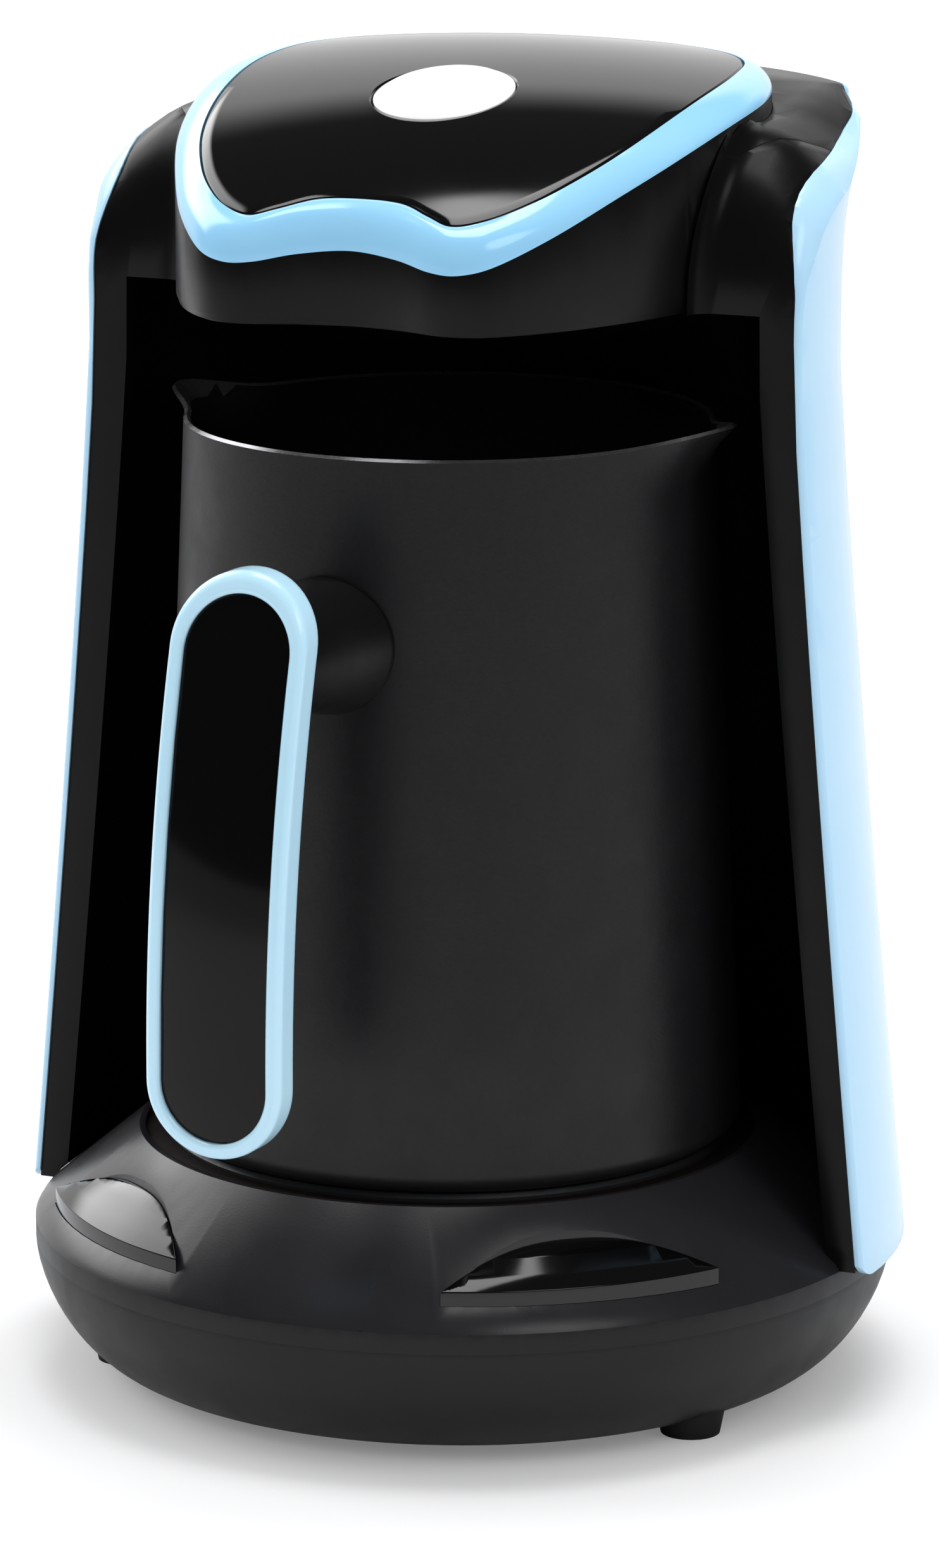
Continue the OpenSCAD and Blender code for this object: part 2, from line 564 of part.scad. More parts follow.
function front_half(i, in, soft) = let (
    y = front_rows[i][0], z = front_rows[i][1], w = wall_x(min(y, 20)),
    f = soft*fillet_r*(1 - ease((y - 2)/12)),
    e = edge_low + (edge_high - edge_low)*ease((z - shoulder_low_z)/16)*(1 - 0.8*ease((y - 8)/20)),
    big = body_r(min(z, body_top_z - top_edge)) + shell_proud,
    xe = sqrt(big*big - pow(min(y, 46) + e - body_y, 2)))
    concat(
        [front_point(i, 20, -in), front_point(i, 40, -in), front_point(i, w - 1.5, -in)],
        [for (k = [0:5]) let (a = 18*k) front_point(i, w + f*(1 - cos(a)), -in + f*(1 - sin(a)))],
        [for (k = [1:3]) front_point(i, mix(w + f, xe - e, k/4), -in)],
        [for (k = [0:4]) let (a = 22.5*k) front_point(i, xe - e + e*sin(a), -in - soft*e*(1 - cos(a)))],
        [front_point(i, xe + 16, -in - soft*18)]);
module front_form(in, soft = 1) {
    halves = [for (i = [0:front_n - 1]) front_half(i, in, soft)];
    m = len(halves[0]);
    rows = [for (h = halves) concat([for (j = [m - 1:-1:0]) [-h[j][0], h[j][1], h[j][2]]], h)];
    w = 2*m;
    // the back and the underside are closed by one far point each side of a skirt
    back = [for (j = [0:w - 1]) [rows[0][j][0], 130, rows[0][j][2]]];
    top = [for (j = [0:w - 1]) [rows[front_n - 1][j][0], 130, rows[front_n - 1][j][2]]];
    all = concat(rows, [top, back]);
    n = len(all);
    polyhedron([for (r = all) for (p = r) p], concat(
        [for (i = [0:n - 1], j = [0:w - 2]) let (k = (i + 1)%n)
            each [[i*w + j, k*w + j, k*w + j + 1], [i*w + j, k*w + j + 1, i*w + j + 1]]],
        [[for (i = [0:n - 1]) i*w + w - 1]], [[for (i = [n - 1:-1:0]) i*w]]));
}

// Outer line of the head and of its trim ring, and inner line of the ring
ring_out_half = [[0, -55.3], [10, -57], [18, -59.8], [24.2, -60.2], [30.6, -57], [38.4, -47.8],
    [45, -36], [51, -22], [55, -7], [57, 9], [55.7, 21], [51.5, 32], [44, 42], [32, 50], [17, 55],
    [0, head_rear_y]];
ring_in_half = [[0, -49.8], [8.5, -50.4], [15, -53.2], [20.3, -55.2], [25.2, -53.6], [31, -49],
    [37.2, -40.8], [43, -28.5], [47, -13], [49.2, 5], [49, 19], [46.2, 32], [39, 42], [28, 48.5],
    [15, 52.5], [0, 54]];
ring_steps = 3;
ring_out = spline(closed_loop(ring_out_half), ring_steps);
ring_in = spline(closed_loop(ring_in_half), ring_steps);
function plate_top(x, y) = top_z - 0.0032*pow(y - crown_y, 2) - 0.0012*x*x;
function ring_edge(y) = ring_edge_z - 0.0029*pow(y - 35.3, 2);
head_edge_r = 3;
module head_prism(in, low, high) translate([0, 0, low])
    linear_extrude(high - low) polygon(inwards(ring_out, in));
module under_ring(drop) pull_x(concat([[-far/2, 0], [-80, 0]],
    [for (i = [0:16]) let (y = mix(-80, 70, i/16)) [y, ring_edge(y) - drop]], [[70, 0]]));
module head_solid() {
    intersection() {
        head_prism(0, niche_top_z + head_edge_r, top_z);
        under_ring(0);
    }
    for (i = [0:2]) let (a = 30*i, b = 30*(i + 1))
        head_prism(head_edge_r*(1 - sin(b)), niche_top_z + head_edge_r*(1 - cos(a)) - 0.001,
            niche_top_z + head_edge_r);
}

sensor_y = pot_y - 18;
sensor_lens_r = 6;

// Plan of the shoulder cap, which lies behind a slanting seam beside the head
module cap_plan(gap) translate([0, 0, niche_top_z + 14]) linear_extrude(far) polygon([
    [-100, 130], [-100, split_y + split_run - gap], [-76, split_y + split_run - gap], [-56, split_y - gap],
    [56, split_y - gap], [76, split_y + split_run - gap], [100, split_y + split_run - gap], [100, 130]]);

module front_housing() color("#262628") place() difference() {
    union() {
        difference() {
            intersection() {
                front_form(0);
                shell_round(-fit);
                translate([-far/2, -far/2, rim_z - 1.2]) cube([far, far/2 + 60, far]);
            }
            difference() {
                front_form(skin, 0);
                niche_round(skin);
            }
            cap_plan(fit);
        }
        head_solid();
        intersection() {
            niche_round(skin);
            front_form(0);
        }
        intersection() {
            at(body_screw_spots) translate([0, 0, rim_z]) cylinder(r = 2.6, h = 22);
            shell_round(-fit);
        }
    }
    head_prism(skin, niche_top_z + skin, top_z + 5);
    niche_round(0);
    translate([-far/2, front_y - far, 0]) cube([far, far, niche_top_z]);
    translate([0, 0, fit]) deck_solid(0, 0);
    at(body_screw_spots) translate([0, 0, rim_z - 5]) cylinder(r = screw_r - 0.2, h = 20, $fn = 24);
    translate([0, sensor_y, niche_top_z - 1]) cylinder(r = sensor_lens_r + fit, h = 5);
    translate([wire_x, head_rear_y - 16, wire_exit_z]) rotate([-90, 0, 0])
        cylinder(r = wire_r + 1, h = 30, $fn = 32);
}
module shoulder_cap() color("#303033") place() difference() {
    intersection() {
        front_form(0);
        shell_round(-fit);
        cap_plan(0);
    }
    intersection() {
        front_form(skin, 0);
        translate([0, 0, -skin]) body_round(-1);
    }
    head_prism(-fit, niche_top_z, top_z + 5);
}
// Side view of the outer shell: its lower front corner is round
shell_corner = 5;
module outer_shell() color("#b9def6") place() difference() {
    intersection() {
        body_round(shell_proud);
        front_form(-0.3);
        pull_x(concat([[far/2, shell_low_z]],
            [for (a = [0:15:90]) [front_y - 1 + (shell_corner + 1)*(1 - sin(a)),
                shell_low_z + shell_corner*(1 - cos(a))]],
            [[front_y - 1, far], [far/2, far]]));
    }
    shell_round(0);
    translate([0, 0, fit]) deck_solid(-fit, 0);
    bowl_solid(-fit);
}

// ---------- Head ----------

function ring_section(i) = let (a = ring_in[i], b = ring_out[i],
    za = plate_top(a[0], a[1]), zb = ring_edge(b[1]),
    c = inwards(ring_out, 3)[i], d = inwards(ring_in, 2.5)[i]) concat(
        [for (k = [0:6]) let (s = 15*k, p = mix(a, b, sin(s))) [p[0], p[1], mix(za, zb, 1 - cos(s))]],
        [[c[0], c[1], ring_edge(c[1]) + 0.1], [d[0], d[1], plate_top(a[0], a[1]) - plate_t - 1.4],
            [d[0], d[1], plate_top(a[0], a[1]) - plate_t - 0.6], [a[0], a[1], za - plate_t - 0.6]]);
module trim_ring() color("#b9def6") place() ring_of([for (i = [0:len(ring_in) - 1]) ring_section(i)]);

button_tilt = atan(2*0.0032*(crown_y + button_front));
button_at = [0, -button_front, plate_top(0, -button_front)];
// The button's own frame: its top plane at z = 0, its travel along -z
module button_frame() place() translate(button_at) rotate([button_tilt, 0, 0]) children();
module place_frame() translate(button_at) rotate([button_tilt, 0, 0]) children();
control_drop = 12;
control_w = 56;
control_d = 50;
control_t = 1.6;
control_x = 22;
control_y = 20;
control_spots = [for (x = [-1, 1], y = [-1, 1]) [x*control_x, y*control_y, 0]];
// How far the plate curves away from the button's plane at those screws
plate_sag = 0.0032*control_y*control_y + 0.0012*control_x*control_x;

module plate_skin(in, top, t) {
    line = inwards(ring_in, in);
    centre = [0, 5];
    rings = 4;
    function layer(k, z) = [for (p = line) let (q = mix(centre, p, k/rings))
        [q[0], q[1], plate_top(q[0], q[1]) + z]];
    stack_of(concat([for (k = [1:rings]) layer(k, top - t)], [for (k = [rings:-1:1]) layer(k, top)]),
        [centre[0], centre[1], plate_top(centre[0], centre[1]) + top - t],
        [centre[0], centre[1], plate_top(centre[0], centre[1]) + top]);
}
module top_plate() color("#0e0f11") place() difference() {
    union() {
        plate_skin(fit, 0, plate_t);
        place_frame() at(control_spots) translate([0, 0, -control_drop])
            cylinder(r = 2.4, h = control_drop - plate_sag - plate_t/2);
    }
    place_frame() translate([0, 0, -30]) cylinder(r = button_r + slip, h = 60);
    place_frame() at(control_spots) translate([0, 0, -control_drop - 1]) cylinder(r = 0.9, h = 8, $fn = 24);
}

button_skirt = 5;
button_flange = 1.4;   // rim under the plate that keeps the button in
flange_t = 1.4;
switch_h = 3.3;
switch_hole = 2.2;     // depth of the switch's hole
plunger_r = 2.5;
plunger_in = 0.6;      // how far the plunger stands in that hole at rest
plunger_out = 1.8;
module start_button() color("#f4f4f2") button_frame() {
    translate([0, 0, -button_skirt]) difference() {
        rotate_extrude() polygon(concat([[0, 0], [button_r + button_flange, 0],
            [button_r + button_flange, flange_t], [button_r, flange_t], [button_r, button_skirt - 0.4]],
            [for (i = [1:8]) let (s = 1 - i/8) [button_r*s, button_skirt + 0.2 + 1.6*(1 - s*s)]]));
        translate([0, 0, -1]) cylinder(r = button_r - 1.8, h = button_skirt - 1);
    }
    stem_low = control_drop - switch_h - plunger_out;
    translate([0, 0, -stem_low]) cylinder(r = 3, h = stem_low - 1);
}
module tact_switch() color("#4a4b50") button_frame() translate([0, 0, -control_drop]) difference() {
    translate([-6, -6, 0]) cube([12, 12, switch_h]);
    translate([0, 0, switch_h - switch_hole]) cylinder(r = plunger_r + slip, h = switch_h, $fn = 48);
}
module switch_plunger() color("#d9d9d6") button_frame()
    translate([0, 0, -control_drop + switch_h - plunger_in])
        cylinder(r = plunger_r, h = plunger_in + plunger_out, $fn = 48);
module control_board() color("#2f5b3a") button_frame() difference() {
    translate([-control_w/2, -control_d/2, -control_drop - control_t])
        cube([control_w, control_d, control_t]);
    at(control_spots) translate([0, 0, -30]) cylinder(r = 1.6, h = 30, $fn = 24);
}
module control_board_screws() color("#c8c9cc") button_frame() at(control_spots)
    translate([0, 0, -control_drop + 5]) rotate([180, 0, 0]) screw(0.85, 5 + control_t, 2.4, 1.5);
module indicator_led() color("#e8e2c0") button_frame() translate([9, 0, -control_drop]) {
    cylinder(r = 1.5, h = 3, $fn = 32);
    translate([0, 0, 3]) sphere(r = 1.5, $fn = 32);
}
module buzzer() color("#1b1b1d") button_frame() translate([-14, 14, -control_drop]) difference() {
    cylinder(r = 6, h = 5);
    translate([0, 0, 4]) cylinder(r = 1.2, h = 2, $fn = 24);
}
module foam_sensor() color("#35563c") place() translate([0, sensor_y, niche_top_z + skin]) {
    translate([-9, -9, 2]) cube([18, 18, 1.6]);
    for (x = [-3, 3]) translate([x, 0, 0]) cylinder(r = 1.6, h = 2.2, $fn = 24);
    for (x = [-7.5, 7.5], y = [-7.5, 7.5]) translate([x, y, 0]) cylinder(r = 1.2, h = 2.2, $fn = 24);
}
module sensor_lens() color("#2a0d10") place() translate([0, sensor_y, niche_top_z - 0.6])
    cylinder(r = sensor_lens_r, h = 0.6 + skin - 0.1);

// ---------- Pot ----------

pot_z = plate_z + seat;
pot_corner = 4;
pot_n = 96;
function pot_r(z) = mix(pot_floor_r, pot_neck_r, pow((z - pot_z)/(pot_rim_z - pot_z), 0.9));
function lip(a) = exp(-pow((abs(abs(a) - 90))/11, 2));
// One ring of the pot's wall at height z, moved in by in
function pot_ring(z, in, up = 0) = [for (j = [0:pot_n - 1]) let (
    a = -180 + 360*j/pot_n, f = lip(a), g = pow(max(0, (z - pot_rim_z + 10)/10), 2),
    r = pot_r(z) - in + lip_out*f*g)
    [r*sin(a), -r*cos(a), z + lip_up*f*g + up]];
pot_wall_z = concat([for (i = [0:4]) mix(pot_z + pot_corner, pot_rim_z - 10, i/4)],
    [for (i = [1:5]) pot_rim_z - 10 + 2*i]);
function low_ring(c) = [for (p = pot_ring(pot_z + pot_corner, c[0])) [p[0], p[1], pot_z + c[1]]];
module pot_body() color("#242426") pot_place() {
    stack_of(concat(
        [low_ring([pot_corner, 0])],
        [low_ring([pot_corner*0.5, pot_corner*0.134]), low_ring([pot_corner*0.134, pot_corner*0.5])],
        [for (z = pot_wall_z) pot_ring(z, 0)],
        [pot_ring(pot_rim_z, pot_wall/2, 0.5)],
        [for (i = [len(pot_wall_z) - 1:-1:0]) pot_ring(pot_wall_z[i], pot_wall)],
        [[for (p = pot_ring(pot_z + pot_corner, pot_corner + 1)) [p[0], p[1], pot_z + 2]]]),
        [0, 0, pot_z], [0, 0, pot_z + 2]);
}

// The neck, a flared round stem from the pot's wall to the handle
handle_y = -handle_d(neck_z);
inset_back = handle_t/2 - 0.9;
neck_tip = -handle_y - inset_back;
module handle_neck() color("#1d1d1f") pot_place() difference() {
    translate([0, 0, neck_z]) rotate([90, 0, 0]) rotate_extrude() {
        root = pot_r(neck_z) - 4;
        polygon(concat([[1.8, root]], [for (i = [0:8]) let (t = i/8)
            [neck_tip_r + (neck_root_r - neck_tip_r)*pow(1 - t, 2.2), mix(root, neck_tip, t)]],
            [[neck_tip_r, neck_tip + 5], [1.8, neck_tip + 5]]));
    }
    cylinder(r = pot_r(neck_z) + 0.7, h = far);
    // the tip follows the bowed back of the handle's inset
    pull_x(concat([for (z = [neck_z - 16:4:neck_z + 16]) [-(handle_d(z) - inset_back - seat), z]],
        [[-far, neck_z + 16], [-far, neck_z - 16]]));
    // seat of the screw's head
    translate([0, -neck_tip, neck_z]) rotate([90, 0, 0]) cylinder(r = 3.4, h = 20, $fn = 32);
}
module handle_screw() color("#c8c9cc") pot_place() translate([0, -(pot_r(neck_z) + 0.8), neck_z])
    rotate([90, 0, 0]) screw(1.6, neck_tip - pot_r(neck_z) - 0.8, 3.2, 2);

// A point of the handle: x across, z up, d out from its bowed middle surface
function bowed(x, z, d) = [x, -(handle_d(z) + d), z];
function stadium(w, low, high, n) = let (r = w/2) concat(
    [for (i = [0:n]) let (a = 180*i/n) [-r*cos(a), high - r + r*sin(a)]],
    [for (i = [1:4]) [r, mix(high - r, low + r, i/5)]],
    [for (i = [0:n]) let (a = 180*i/n) [r*cos(a), low + r - r*sin(a)]],
    [for (i = [1:4]) [-r, mix(low + r, high - r, i/5)]]);
handle_n = 12;
function band(in) = stadium(handle_w - 2*in, handle_low_z + in,
    handle_top_z - in*(1 + handle_cap/handle_band), handle_n);
// Section of the ring: share of its width from the outside in, share of its half depth
band_section = [[0.25, -1], [0, -0.8], [0, 0.5], [0.12, 0.82], [0.4, 1], [0.75, 1], [0.96, 0.86],
    [1, 0.6], [1, -0.8], [0.75, -1]];
module handle_ring() color("#aedaf5") pot_place() {
    outlines = [for (s = band_section) band(handle_band*s[0])];
    ring_of([for (i = [0:len(outlines[0]) - 1]) [for (k = [0:len(band_section) - 1])
        let (p = outlines[k][i]) bowed(p[0], p[1], band_section[k][1]*handle_t/2)]]);
}
inset_r = handle_w/2 - handle_band - fit;
inset_low = handle_low_z + handle_band + fit;
inset_top = handle_top_z - handle_band - handle_cap - fit;
inset_front = handle_t/2 - 1;
// One level row of the inset: half width w at height z
function inset_row(w, z) = [bowed(-w, z, inset_front), bowed(w, z, inset_front),
    bowed(w, z, -inset_back), bowed(-w, z, -inset_back)];
module handle_inset() color("#0a0b0d") pot_place() difference() {
    arc = [for (i = [1:8]) 90*i/8];
    stack_of(concat(
        [for (a = arc) inset_row(inset_r*sin(a), inset_low + inset_r*(1 - cos(a)))],
        [for (i = [1:5]) inset_row(inset_r, mix(inset_low + inset_r, inset_top - inset_r, i/5))],
        [for (i = [6:-1:0]) inset_row(inset_r*sin(arc[i]), inset_top - inset_r*(1 - cos(arc[i])))]),
        bowed(0, inset_low, 0), bowed(0, inset_top, 0));
    translate([0, 0, neck_z]) rotate([90, 0, 0]) cylinder(r = 3.5, h = -handle_y, $fn = 32);
}

base_bowl();
base_deck();
foot(0);  // foot_front_left
foot(1);  // foot_front_right
foot(2);  // foot_rear_left
foot(3);  // foot_rear_right
window_left();
window_right();
heating_plate();
plate_seal();
heating_element();
element_bracket();
bracket_screws();
thermostat();
thermal_fuse();
power_board();
power_board_screws();
relay();
transformer();
terminal_block();
cord_gland();
cord_clamp();
clamp_screws();
base_screws();
body_screws();
wire_bundle();
front_housing();
shoulder_cap();
outer_shell();
trim_ring();
top_plate();
start_button();
tact_switch();
switch_plunger();
control_board();
control_board_screws();
indicator_led();
buzzer();
foam_sensor();
sensor_lens();
pot_body();
handle_neck();
handle_ring();
handle_inset();
handle_screw();
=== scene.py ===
import json
import math

import bmesh
import bpy
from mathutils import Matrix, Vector

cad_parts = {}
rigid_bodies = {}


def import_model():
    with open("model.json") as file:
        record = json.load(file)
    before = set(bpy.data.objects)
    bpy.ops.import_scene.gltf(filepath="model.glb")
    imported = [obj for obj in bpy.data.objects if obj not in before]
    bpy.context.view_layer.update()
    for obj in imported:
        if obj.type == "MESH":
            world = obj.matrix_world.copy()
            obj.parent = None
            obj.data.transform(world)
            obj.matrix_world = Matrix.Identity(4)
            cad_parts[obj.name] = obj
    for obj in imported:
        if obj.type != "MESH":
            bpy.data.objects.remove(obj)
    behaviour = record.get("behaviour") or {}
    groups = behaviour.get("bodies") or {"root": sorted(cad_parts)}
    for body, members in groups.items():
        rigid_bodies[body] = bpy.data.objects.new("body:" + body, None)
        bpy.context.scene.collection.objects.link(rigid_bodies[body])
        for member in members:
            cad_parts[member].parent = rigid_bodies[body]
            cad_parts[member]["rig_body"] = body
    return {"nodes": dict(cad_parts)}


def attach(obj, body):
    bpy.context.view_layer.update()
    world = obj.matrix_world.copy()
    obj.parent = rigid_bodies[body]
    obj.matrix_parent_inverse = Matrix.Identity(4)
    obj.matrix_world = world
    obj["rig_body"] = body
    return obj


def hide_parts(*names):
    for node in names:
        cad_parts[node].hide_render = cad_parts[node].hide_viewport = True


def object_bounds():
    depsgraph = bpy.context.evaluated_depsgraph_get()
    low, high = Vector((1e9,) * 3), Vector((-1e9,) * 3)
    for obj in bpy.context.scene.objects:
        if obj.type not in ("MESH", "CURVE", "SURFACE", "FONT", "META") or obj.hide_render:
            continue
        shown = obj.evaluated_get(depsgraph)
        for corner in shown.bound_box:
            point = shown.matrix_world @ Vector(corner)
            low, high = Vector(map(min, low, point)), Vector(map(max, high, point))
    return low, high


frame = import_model()
cad_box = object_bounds()
NODES = frame["nodes"]
MM = 0.001
# how far the base's axis lies behind the origin
AXIS_Y = 10.2711 * MM

# ---------- Camera: the photograph's viewing angle ----------

CAMERA_AZIMUTH = math.radians(22.65)
CAMERA_HEIGHT = math.radians(12.93)
CAMERA_DISTANCE = 1322.9 * MM
CAMERA_LENS = 153.03
SENSOR_WIDTH = 36
# the point that the camera faces: how far to the right of the base's axis, and how high
LOOK_ACROSS = 1.18 * MM
LOOK_UP = 117.41 * MM


def add_camera():
    a, e = CAMERA_AZIMUTH, CAMERA_HEIGHT
    back = Vector((math.sin(a) * math.cos(e), -math.cos(a) * math.cos(e), math.sin(e)))
    target = Vector((LOOK_ACROSS * math.cos(a), LOOK_ACROSS * math.sin(a) + AXIS_Y, LOOK_UP))
    data = bpy.data.cameras.new("camera")
    data.lens = CAMERA_LENS
    data.sensor_width = SENSOR_WIDTH
    data.clip_start = 10 * MM
    camera = bpy.data.objects.new("camera", data)
    camera.location = target + back * CAMERA_DISTANCE
    camera.rotation_euler = (-back).to_track_quat("-Z", "Y").to_euler()
    bpy.context.scene.collection.objects.link(camera)
    bpy.context.scene.camera = camera


# ---------- Materials ----------

# the part of a noise's range that its variation uses, from none to all of it
NOISE_LOW, NOISE_HIGH = 0.3, 0.7
NOISE_ROUGHNESS = 0.55
# sockets of a Mix node, which holds a set of its own for each kind of data
MIX_FACTOR = 0
NUMBER_A, NUMBER_B, NUMBER_OUT = 2, 3, 0
COLOUR_A, COLOUR_B, COLOUR_OUT = 6, 7, 2


def srgb(r, g, b):
    """A colour given as 0-255 sRGB, as the linear colour that shaders use."""
    def one(v):
        v /= 255
        return v / 12.92 if v <= 0.04045 else ((v + 0.055) / 1.055) ** 2.4
    return (one(r), one(g), one(b), 1)


class Look:
    """A Principled material whose nodes are added one by one."""

    def __init__(self, name, colour, rough, metallic=0.0, specular=0.5, coat=0.0, coat_rough=0.05):
        self.mat = bpy.data.materials.new(name)
        self.mat.use_nodes = True
        self.tree = self.mat.node_tree
        self.shader = self.tree.nodes["Principled BSDF"]
        self.colour = colour
        self.rough = rough
        self.set("Base Color", colour)
        self.set("Roughness", rough)
        self.set("Metallic", metallic)
        self.set("Specular IOR Level", specular)
        self.set("Coat Weight", coat)
        self.set("Coat Roughness", coat_rough)
        self.coords = self.tree.nodes.new("ShaderNodeTexCoord")
        self.normal = None

    def set(self, socket, value):
        self.shader.inputs[socket].default_value = value

    def link(self, a, b):
        self.tree.links.new(a, b)

    def noise(self, scale, detail, stretch):
        mapping = self.tree.nodes.new("ShaderNodeMapping")
        mapping.inputs["Scale"].default_value = stretch
        self.link(self.coords.outputs["Object"], mapping.inputs["Vector"])
        noise = self.tree.nodes.new("ShaderNodeTexNoise")
        noise.inputs["Scale"].default_value = scale
        noise.inputs["Detail"].default_value = detail
        noise.inputs["Roughness"].default_value = NOISE_ROUGHNESS
        self.link(mapping.outputs["Vector"], noise.inputs["Vector"])
        return noise.outputs["Fac"]

    def spread_noise(self, scale, detail, stretch):
        """A Map Range node that spreads the middle of a noise's range."""
        spread = self.tree.nodes.new("ShaderNodeMapRange")
        spread.inputs["From Min"].default_value = NOISE_LOW
        spread.inputs["From Max"].default_value = NOISE_HIGH
        self.link(self.noise(scale, detail, stretch), spread.inputs["Value"])
        return spread

    def vary_rough(self, scale, amount, detail=3.0, stretch=(1, 1, 1)):
        spread = self.spread_noise(scale, detail, stretch)
        spread.inputs["To Min"].default_value = max(0.01, self.rough - amount)
        spread.inputs["To Max"].default_value = min(1.0, self.rough + amount)
        self.link(spread.outputs["Result"], self.shader.inputs["Roughness"])
        return self

    def vary_colour(self, scale, other, detail=3.0, stretch=(1, 1, 1)):
        spread = self.spread_noise(scale, detail, stretch)
        blend = self.tree.nodes.new("ShaderNodeMix")
        blend.data_type = "RGBA"
        blend.inputs[COLOUR_A].default_value = self.colour
        blend.inputs[COLOUR_B].default_value = other
        self.link(spread.outputs["Result"], blend.inputs[MIX_FACTOR])
        self.link(blend.outputs[COLOUR_OUT], self.shader.inputs["Base Color"])
        return self

    def grain(self, scale, depth, detail=2.0, stretch=(1, 1, 1)):
        """A fine relief, depth in m; a second grain lies over the first."""
        bump = self.tree.nodes.new("ShaderNodeBump")
        bump.inputs["Strength"].default_value = 1.0
        bump.inputs["Distance"].default_value = depth
        self.link(self.noise(scale, detail, stretch), bump.inputs["Height"])
        if self.normal is not None:
            self.link(self.normal, bump.inputs["Normal"])
        self.normal = bump.outputs["Normal"]
        self.link(self.normal, self.shader.inputs["Normal"])
        return self


def make_looks():
    looks = {}

    def look(name, *args, **kw):
        looks[name] = Look(name, *args, **kw)
        return looks[name]

    # the black housings, the pot and the gloss pieces
    look("satin_black", srgb(9, 9, 10), 0.30, specular=0.16) \
        .vary_rough(60, 0.04).vary_colour(35, srgb(12, 12, 13)).grain(2600, 0.000012).grain(14, 0.00006)
    look("deck_black", srgb(29, 28, 31), 0.30, specular=0.5) \
        .vary_rough(80, 0.04).vary_colour(30, srgb(33, 32, 35)).grain(2400, 0.000014)
    look("bowl_black", srgb(17, 17, 19), 0.42, specular=0.3) \
        .vary_rough(80, 0.05).vary_colour(30, srgb(21, 21, 23)).grain(2400, 0.000014)
    look("pot_coat", srgb(18, 18, 20), 0.42, specular=0.3) \
        .vary_rough(120, 0.05).vary_colour(900, srgb(23, 23, 25), detail=4).grain(1500, 0.00003, detail=4)
    look("pot_edge", srgb(150, 150, 153), 0.28, metallic=0.9) \
        .vary_rough(300, 0.06).grain(900, 0.00001)
    look("handle_black", srgb(14, 14, 16), 0.4, specular=0.35) \
        .vary_rough(90, 0.05).grain(1800, 0.00002)
    look("gloss_black", srgb(7, 7, 8), 0.06, specular=0.5) \
        .vary_rough(40, 0.015).grain(9, 0.00003)
    look("inset_black", srgb(7, 7, 8), 0.08, specular=0.22) \
        .vary_rough(40, 0.015).grain(9, 0.00003)
    look("window_black", srgb(8, 8, 9), 0.07, specular=0.5) \
        .vary_rough(50, 0.02).grain(20, 0.00002)

    # the pale blue pieces and the button
    look("shell_blue", srgb(176, 218, 246), 0.22, specular=0.5, coat=0.25, coat_rough=0.08) \
        .vary_rough(50, 0.03).vary_colour(20, srgb(180, 221, 247)).grain(12, 0.00004)
    # painted shade: the trim ring's blue is a deeper, darker copy of the shell's blue
    look("trim_blue_painted_shade", srgb(146, 206, 243), 0.16, specular=0.5, coat=0.5, coat_rough=0.06) \
        .vary_rough(50, 0.03).vary_colour(20, srgb(151, 209, 244)).grain(12, 0.00002)
    # painted light: the handle ring's blue is a paler copy of the shell's blue
    look("handle_blue_painted_light", srgb(188, 229, 250), 0.2, specular=0.5, coat=0.4, coat_rough=0.06) \
        .vary_rough(50, 0.03).vary_colour(20, srgb(192, 231, 250)).grain(12, 0.00002)
    look("button_white", srgb(244, 244, 243), 0.25, specular=0.5, coat=0.2) \
        .vary_rough(80, 0.03).vary_colour(60, srgb(240, 240, 240)).grain(900, 0.000006)

    # feet, seal and heater
    look("rubber", srgb(22, 22, 23), 0.7, specular=0.3) \
        .vary_rough(200, 0.08).grain(1600, 0.00004)
    look("seal", srgb(20, 13, 13), 0.6, specular=0.2) \
        .vary_rough(200, 0.08).grain(1400, 0.00003)
    look("plate_metal", srgb(88, 89, 92), 0.42, metallic=0.9) \
        .vary_rough(300, 0.08).grain(700, 0.00003)
    look("zinc_steel", srgb(196, 198, 203), 0.32, metallic=1.0) \
        .vary_rough(900, 0.08).grain(2500, 0.00001)
    look("element_steel", srgb(136, 126, 118), 0.45, metallic=1.0) \
        .vary_colour(180, srgb(98, 88, 92)).vary_rough(300, 0.1)
    look("phenolic", srgb(216, 211, 198), 0.55) \
        .vary_colour(400, srgb(204, 198, 184)).grain(1400, 0.00003)
    look("fuse_case", srgb(201, 178, 122), 0.35, metallic=0.9) \
        .vary_rough(600, 0.1)

    # boards, their parts and the wires
    look("board_green", srgb(38, 96, 56), 0.35, coat=0.3) \
        .vary_colour(900, srgb(28, 78, 44)).grain(900, 0.00001)
    look("relay_blue", srgb(42, 79, 134), 0.3) \
        .vary_rough(300, 0.06).grain(900, 0.00001)
    look("winding", srgb(184, 146, 58), 0.4) \
        .vary_colour(700, srgb(160, 122, 44), stretch=(1, 1, 6))
    look("terminal_green", srgb(63, 143, 88), 0.45) \
        .vary_rough(300, 0.08).grain(1200, 0.00001)
    look("black_part", srgb(30, 30, 32), 0.5) \
        .vary_rough(200, 0.08).grain(1500, 0.00002)
    look("wire_red", srgb(176, 62, 45), 0.45) \
        .vary_colour(90, srgb(150, 48, 36)).grain(900, 0.00001)
    look("pale_part", srgb(220, 219, 210), 0.4) \
        .vary_rough(300, 0.08).grain(1200, 0.00001)
    look("sensor_window", srgb(44, 14, 18), 0.08, coat=0.5) \
        .vary_rough(90, 0.02)
    return {name: item.mat for name, item in looks.items()}


